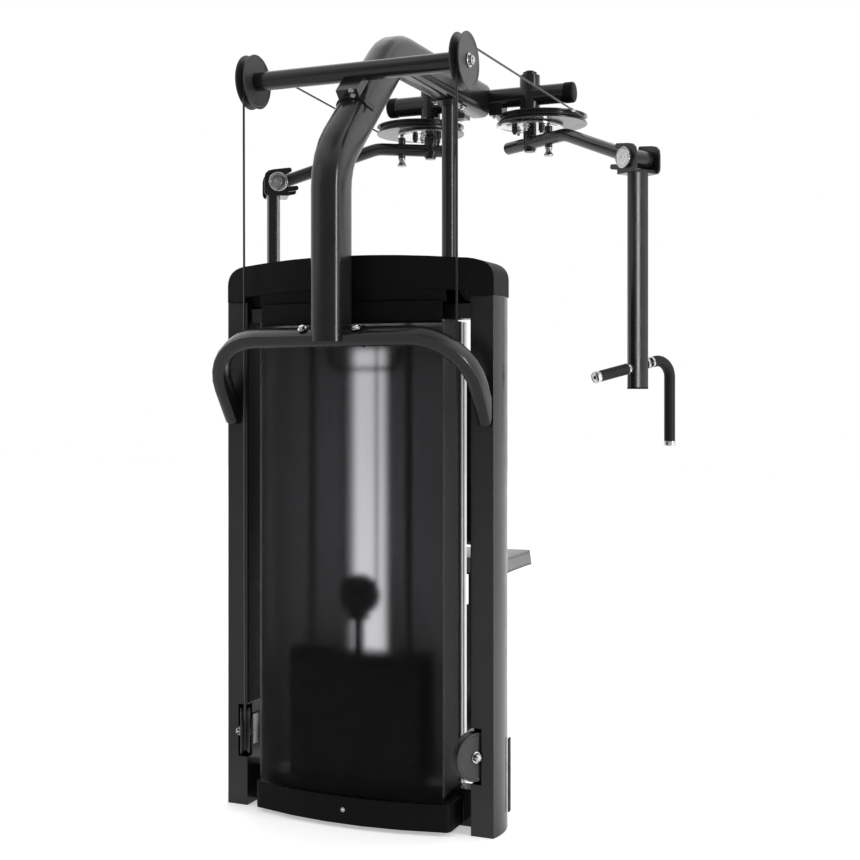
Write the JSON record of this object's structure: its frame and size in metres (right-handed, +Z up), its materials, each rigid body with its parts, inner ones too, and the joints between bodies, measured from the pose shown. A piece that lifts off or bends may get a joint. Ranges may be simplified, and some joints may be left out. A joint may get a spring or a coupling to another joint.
{
  "type": "pec fly and rear delt machine",
  "caption": "Selectorized pec fly and rear delt machine: weight-stack tower with gooseneck, overhead cams and cable pulleys, and two swing arms with drop handles.",
  "frame": {"origin": "on the floor, under the machine's centre plane, at the back faces of the two tower uprights", "axes": "+Z up, +X towards the user's left, +Y away from the user, out of the back of the tower; the user sits on the -Y side and faces -Y"},
  "size_m": [1.3528, 1.248, 2.122],
  "materials": {
    "powder_coat": "satin black powder coat on steel tube and plate",
    "moulded_plastic": "fine-textured black moulding",
    "smoked_panel": "smoked transparent sheet",
    "grip_rubber": "matt black rubber sleeve",
    "pulley_nylon": "dark grey satin nylon",
    "coated_cable": "black nylon coating on steel cable",
    "chrome": "polished",
    "plate_iron": "black painted cast iron",
    "upholstery": "dark grey grained vinyl over foam"
  },
  "bodies": {
    "frame": {"back_pad": "upholstery", "base_frame": "powder_coat", "crossbar": "powder_coat", "front_cross_tube": "powder_coat", "front_post": "powder_coat", "front_shroud": "moulded_plastic", "guide_rod_left": "chrome", "guide_rod_right": "chrome", "kick_panel": "moulded_plastic", "lift_strand_left": "coated_cable", "lift_strand_right": "coated_cable", "lower_bracket_left": "powder_coat", "lower_bracket_right": "powder_coat", "neck": "powder_coat", "rear_panel": "smoked_panel", "resting_plates": "plate_iron", "side_cable_left": "coated_cable", "side_cable_right": "coated_cable", "side_upright_left": "powder_coat", "side_upright_right": "powder_coat", "top_bracket": "powder_coat", "top_cover": "moulded_plastic", "tube_cap_left": "moulded_plastic", "tube_cap_right": "moulded_plastic", "yoke": "powder_coat"},
    "lifted_stack": {"lifted_plates": "plate_iron", "head_plate": "plate_iron", "lift_fork": "powder_coat", "lift_loop": "coated_cable"},
    "floating_pulley": {"floating_pulley": "pulley_nylon"},
    "selector_pin": {"selector_pin": "chrome"},
    "seat": {"seat_post": "powder_coat", "seat_pad": "upholstery"},
    "seat_pin": {"seat_pin": "chrome"},
    "left_cam": {"cam_left": "powder_coat", "selector_plate_left": "chrome"},
    "left_swing_arm": {"swing_arm_left": "powder_coat"},
    "left_pull_pin": {"pull_pin_left": "chrome"},
    "left_handle": {"drop_arm_left": "powder_coat", "elbow_axle_left": "chrome", "straight_grip_left": "grip_rubber", "bent_grip_left": "grip_rubber"},
    "left_lead_cable": {"lead_cable_left": "coated_cable"},
    "left_top_pulley": {"top_pulley_left": "pulley_nylon"},
    "left_lower_pulley": {"lower_pulley_left": "pulley_nylon"},
    "left_corner_pulley": {"corner_pulley_left": "pulley_nylon"},
    "left_centre_pulley": {"centre_pulley_left": "pulley_nylon"},
    "right_cam": {"cam_right": "powder_coat", "selector_plate_right": "chrome"},
    "right_swing_arm": {"swing_arm_right": "powder_coat"},
    "right_pull_pin": {"pull_pin_right": "chrome"},
    "right_handle": {"drop_arm_right": "powder_coat", "elbow_axle_right": "chrome", "straight_grip_right": "grip_rubber", "bent_grip_right": "grip_rubber"},
    "right_lead_cable": {"lead_cable_right": "coated_cable"},
    "right_top_pulley": {"top_pulley_right": "pulley_nylon"},
    "right_lower_pulley": {"lower_pulley_right": "pulley_nylon"},
    "right_corner_pulley": {"corner_pulley_right": "pulley_nylon"},
    "right_centre_pulley": {"centre_pulley_right": "pulley_nylon"}
  },
  "joints": [
    {"name": "stack_lift", "type": "slide", "parent": "frame", "child": "lifted_stack", "axis": [0, 0, 1], "range_m": [0, 0.22], "deforming": ["lift_strand_left", "lift_strand_right"]},
    {"name": "floating_pulley_spin", "type": "hinge", "parent": "lifted_stack", "child": "floating_pulley", "pos_m": [0, -0.045, 0.581], "axis": [0, 1, 0], "continuous": true},
    {"name": "selector_pin_pull", "type": "slide", "parent": "lifted_stack", "child": "selector_pin", "axis": [0, -1, 0], "range_m": [0, 0.06]},
    {"name": "seat_height", "type": "slide", "parent": "frame", "child": "seat", "axis": [0, 0, 1], "range_m": [0, 0.15]},
    {"name": "seat_pin_pull", "type": "slide", "parent": "frame", "child": "seat_pin", "axis": [-1, 0, 0], "range_m": [0, 0.012]},
    {"name": "left_cam_swing", "type": "hinge", "parent": "frame", "child": "left_cam", "pos_m": [0.171, -0.909, 1.9], "axis": [0, 0, -1], "range_deg": [0, 90.5]},
    {"name": "left_arm_set", "type": "hinge", "parent": "left_cam", "child": "left_swing_arm", "pos_m": [0.171, -0.909, 1.9], "axis": [0, 0, -1], "range_deg": [0, 30]},
    {"name": "left_pull_pin_pull", "type": "slide", "parent": "left_swing_arm", "child": "left_pull_pin", "axis": [0, 0, -1], "range_m": [0, 0.01]},
    {"name": "left_elbow", "type": "hinge", "parent": "left_swing_arm", "child": "left_handle", "pos_m": [0.58842, -0.63376, 1.777], "axis": [-0.5505, 0.8348, 0], "range_deg": [-20, 20]},
    {"name": "left_top_pulley_spin", "type": "hinge", "parent": "frame", "child": "left_top_pulley", "pos_m": [0.304, 0, 1.942], "axis": [1, 0, 0], "range_deg": [0, 253]},
    {"name": "left_lower_pulley_spin", "type": "hinge", "parent": "frame", "child": "left_lower_pulley", "pos_m": [0.329, 0, 0.2], "axis": [0.8572, 0.515, 0], "range_deg": [0, 243]},
    {"name": "left_corner_pulley_spin", "type": "hinge", "parent": "frame", "child": "left_corner_pulley", "pos_m": [0.319, -0.045, 1.384], "axis": [0, 1, 0], "range_deg": [0, 316]},
    {"name": "left_centre_pulley_spin", "type": "hinge", "parent": "frame", "child": "left_centre_pulley", "pos_m": [0.087, -0.045, 1.384], "axis": [0, 1, 0], "range_deg": [0, 316]},
    {"name": "left_lead_swing", "type": "hinge", "parent": "frame", "child": "left_lead_cable", "pos_m": [0.304, -0.001, 1.992], "axis": [0, 0, -1], "range_deg": [0, 2.45]},
    {"name": "right_cam_swing", "type": "hinge", "parent": "frame", "child": "right_cam", "pos_m": [-0.171, -0.909, 1.9], "axis": [0, 0, 1], "range_deg": [0, 90.5]},
    {"name": "right_arm_set", "type": "hinge", "parent": "right_cam", "child": "right_swing_arm", "pos_m": [-0.171, -0.909, 1.9], "axis": [0, 0, 1], "range_deg": [0, 30]},
    {"name": "right_pull_pin_pull", "type": "slide", "parent": "right_swing_arm", "child": "right_pull_pin", "axis": [0, 0, -1], "range_m": [0, 0.01]},
    {"name": "right_elbow", "type": "hinge", "parent": "right_swing_arm", "child": "right_handle", "pos_m": [-0.58842, -0.63376, 1.777], "axis": [-0.5505, -0.8348, 0], "range_deg": [-20, 20]},
    {"name": "right_top_pulley_spin", "type": "hinge", "parent": "frame", "child": "right_top_pulley", "pos_m": [-0.304, 0, 1.942], "axis": [1, 0, 0], "range_deg": [0, 253]},
    {"name": "right_lower_pulley_spin", "type": "hinge", "parent": "frame", "child": "right_lower_pulley", "pos_m": [-0.329, 0, 0.2], "axis": [0.8572, -0.515, 0], "range_deg": [0, 243]},
    {"name": "right_corner_pulley_spin", "type": "hinge", "parent": "frame", "child": "right_corner_pulley", "pos_m": [-0.319, -0.045, 1.384], "axis": [0, -1, 0], "range_deg": [0, 316]},
    {"name": "right_centre_pulley_spin", "type": "hinge", "parent": "frame", "child": "right_centre_pulley", "pos_m": [-0.087, -0.045, 1.384], "axis": [0, -1, 0], "range_deg": [0, 316]},
    {"name": "right_lead_swing", "type": "hinge", "parent": "frame", "child": "right_lead_cable", "pos_m": [-0.304, -0.001, 1.992], "axis": [0, 0, 1], "range_deg": [0, 2.45]}
  ],
  "couplings": [
    {"joint": "left_cam_swing", "follows": "stack_lift", "rad_per_m": 7.1429},
    {"joint": "left_top_pulley_spin", "follows": "stack_lift", "rad_per_m": 20},
    {"joint": "left_lower_pulley_spin", "follows": "stack_lift", "rad_per_m": 19.231},
    {"joint": "left_corner_pulley_spin", "follows": "stack_lift", "rad_per_m": 25},
    {"joint": "left_centre_pulley_spin", "follows": "stack_lift", "rad_per_m": 25},
    {"joint": "left_lead_swing", "follows": "stack_lift", "rad_per_m": 0.19},
    {"joint": "right_cam_swing", "follows": "stack_lift", "rad_per_m": 7.1429},
    {"joint": "right_top_pulley_spin", "follows": "stack_lift", "rad_per_m": 20},
    {"joint": "right_lower_pulley_spin", "follows": "stack_lift", "rad_per_m": 19.231},
    {"joint": "right_corner_pulley_spin", "follows": "stack_lift", "rad_per_m": 25},
    {"joint": "right_centre_pulley_spin", "follows": "stack_lift", "rad_per_m": 25},
    {"joint": "right_lead_swing", "follows": "stack_lift", "rad_per_m": 0.19}
  ]
}
